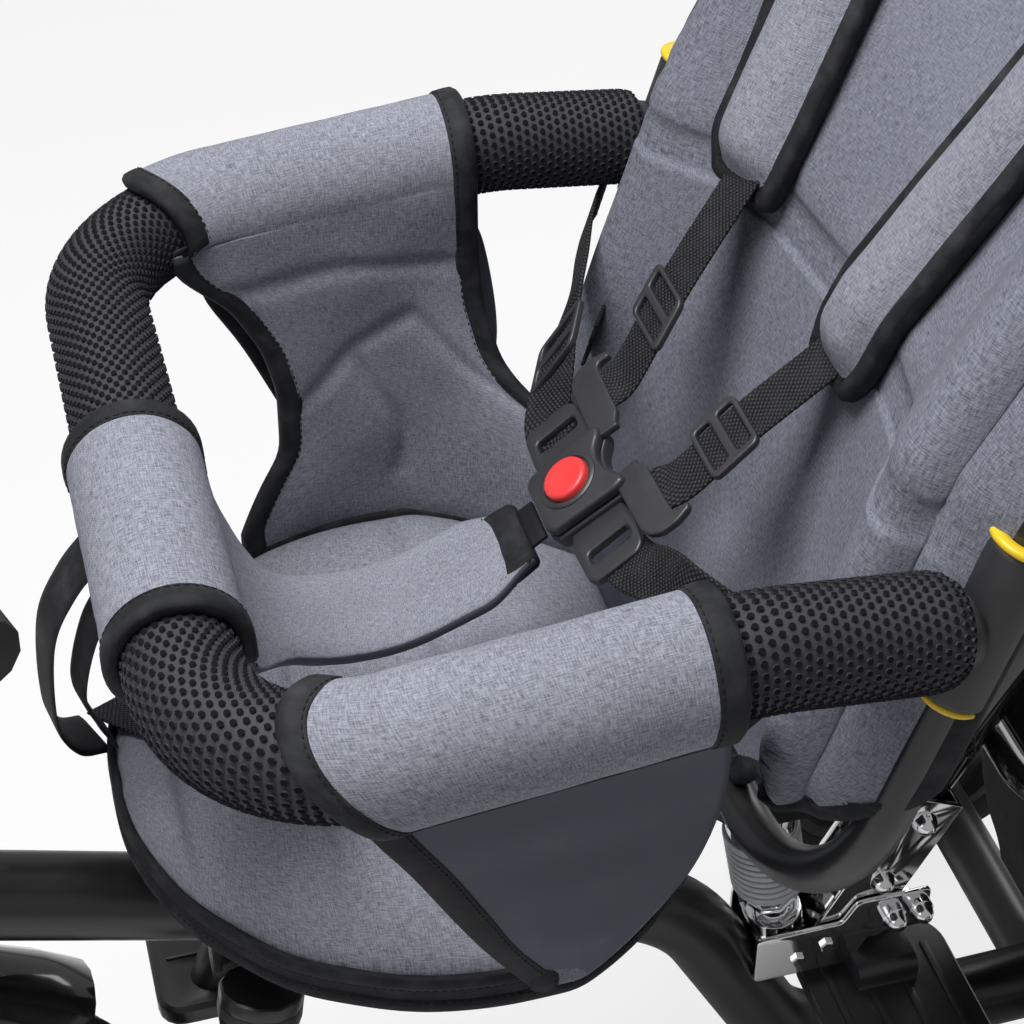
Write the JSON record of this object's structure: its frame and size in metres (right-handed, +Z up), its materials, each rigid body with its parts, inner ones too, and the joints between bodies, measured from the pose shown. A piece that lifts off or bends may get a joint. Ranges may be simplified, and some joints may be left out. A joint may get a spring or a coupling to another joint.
{
  "type": "toddler push tricycle",
  "caption": "Toddler tricycle with a bent steel frame, a sprung cloth seat with a padded guard ring and harness, a push handle and a rear basket.",
  "frame": {"origin": "centre of the bounding box on the ground", "axes": "+X to the child's left, -Y forward, +Z up"},
  "size_m": [0.496, 1.003, 0.9541],
  "materials": {
    "satin_black_steel": "satin black powder coat on steel tube",
    "gloss_black": "glossy black",
    "chrome": "bright chrome",
    "black_plastic": "fine-grained black plastic",
    "tyre_rubber": "matt black",
    "grip_rubber": "matt black",
    "melange_cloth": "grey-blue melange weave with black binding",
    "mesh_foam": "charcoal spacer mesh over foam",
    "webbing": "black woven webbing",
    "yellow_plastic": "yellow",
    "red_plastic": "red, satin",
    "smoky_plastic": "smoky translucent, faint ribs"
  },
  "bodies": {
    "frame": {"main_tube": "satin_black_steel", "head_tube": "satin_black_steel", "rear_axle_beam": "satin_black_steel", "rear_bracket": "chrome", "shock_foot": "chrome", "shock_spring": "chrome", "push_socket": "chrome", "push_tube_lower": "gloss_black", "push_lock": "black_plastic", "basket_rim": "gloss_black", "basket_bag": "melange_cloth", "footrest_bracket": "black_plastic"},
    "steering": {"fork": "satin_black_steel", "front_fender": "gloss_black", "handlebar": "satin_black_steel", "grip_left": "grip_rubber", "grip_right": "grip_rubber"},
    "front_wheel": {"front_tyre": "tyre_rubber", "front_wheel": "black_plastic", "crank": "chrome"},
    "left_pedal": {"pedal_left": "black_plastic"},
    "right_pedal": {"pedal_right": "black_plastic"},
    "left_rear_wheel": {"rear_tyre_left": "tyre_rubber", "rear_wheel_left": "black_plastic"},
    "right_rear_wheel": {"rear_tyre_right": "tyre_rubber", "rear_wheel_right": "black_plastic"},
    "treadle": {"brake_treadle": "black_plastic"},
    "push_handle": {"push_tube_upper": "satin_black_steel", "push_grip_left": "mesh_foam", "push_grip_right": "mesh_foam"},
    "left_footrest": {"footrest_leg_left": "satin_black_steel"},
    "right_footrest": {"footrest_leg_right": "satin_black_steel"},
    "seat": {"seat_carrier": "satin_black_steel", "shock_cap": "chrome", "shock_sleeve": "smoky_plastic", "seat_shell": "gloss_black", "back_frame": "satin_black_steel", "clamp_bush_left": "yellow_plastic", "clamp_bush_right": "yellow_plastic", "clamp_sleeve_left": "black_plastic", "clamp_sleeve_right": "black_plastic", "guard_ring_tube": "satin_black_steel", "guard_ring_foam": "mesh_foam", "seat_pad": "melange_cloth", "front_skirt": "melange_cloth", "back_pad": "melange_cloth", "side_panel_left": "melange_cloth", "side_panel_right": "melange_cloth", "front_panel": "melange_cloth", "shoulder_pad_left": "melange_cloth", "shoulder_pad_right": "melange_cloth", "shoulder_strap_left": "webbing", "shoulder_strap_right": "webbing", "waist_strap_left": "webbing", "waist_strap_right": "webbing", "crotch_strap": "webbing", "tongue_left": "black_plastic", "tongue_right": "black_plastic", "buckle_body": "black_plastic"},
    "button": {"buckle_button": "red_plastic"}
  },
  "joints": [
    {"name": "steering_turn", "type": "hinge", "parent": "frame", "child": "steering", "pos_m": [0, -0.35151, 0.14891], "axis": [0, 0.1392, 0.9903], "range_deg": [-35, 35]},
    {"name": "front_wheel_spin", "type": "hinge", "parent": "steering", "child": "front_wheel", "pos_m": [0, -0.35151, 0.14891], "axis": [1, 0, 0], "continuous": true},
    {"name": "left_pedal_spin", "type": "hinge", "parent": "front_wheel", "child": "left_pedal", "pos_m": [0.108, -0.35151, 0.23291], "axis": [1, 0, 0], "continuous": true},
    {"name": "right_pedal_spin", "type": "hinge", "parent": "front_wheel", "child": "right_pedal", "pos_m": [-0.108, -0.35151, 0.06491], "axis": [1, 0, 0], "continuous": true},
    {"name": "left_rear_wheel_spin", "type": "hinge", "parent": "frame", "child": "left_rear_wheel", "pos_m": [0.215, 0.29449, 0.11891], "axis": [1, 0, 0], "continuous": true},
    {"name": "right_rear_wheel_spin", "type": "hinge", "parent": "frame", "child": "right_rear_wheel", "pos_m": [-0.215, 0.29449, 0.11891], "axis": [1, 0, 0], "continuous": true},
    {"name": "treadle_press", "type": "hinge", "parent": "frame", "child": "treadle", "pos_m": [0, 0.17299, 0.19491], "axis": [0, 1, 0], "range_deg": [0, 14], "stiffness_Nm_per_rad": 2, "springref_deg": -8.59},
    {"name": "push_handle_height", "type": "slide", "parent": "frame", "child": "push_handle", "axis": [0, 0.4384, 0.8988], "range_m": [-0.12, 0]},
    {"name": "left_footrest_swing", "type": "hinge", "parent": "frame", "child": "left_footrest", "pos_m": [0.03, -0.16351, 0.29891], "axis": [-0.2534, 0.2036, 0.9457], "range_deg": [0, 90]},
    {"name": "right_footrest_swing", "type": "hinge", "parent": "frame", "child": "right_footrest", "pos_m": [-0.03, -0.16351, 0.29891], "axis": [0.2534, 0.2036, 0.9457], "range_deg": [-90, 0]},
    {"name": "seat_bounce", "type": "hinge", "parent": "frame", "child": "seat", "pos_m": [0, -0.11951, 0.35091], "axis": [1, 0, 0], "range_deg": [-2.5, 0], "stiffness_Nm_per_rad": 900, "springref_deg": 1.15, "deforming": ["shock_spring"]},
    {"name": "buckle_button_press", "type": "slide", "parent": "seat", "child": "button", "axis": [0, 0.6157, -0.788], "range_m": [0, 0.002], "stiffness_N_per_m": 800, "springref_m": -0.001}
  ]
}
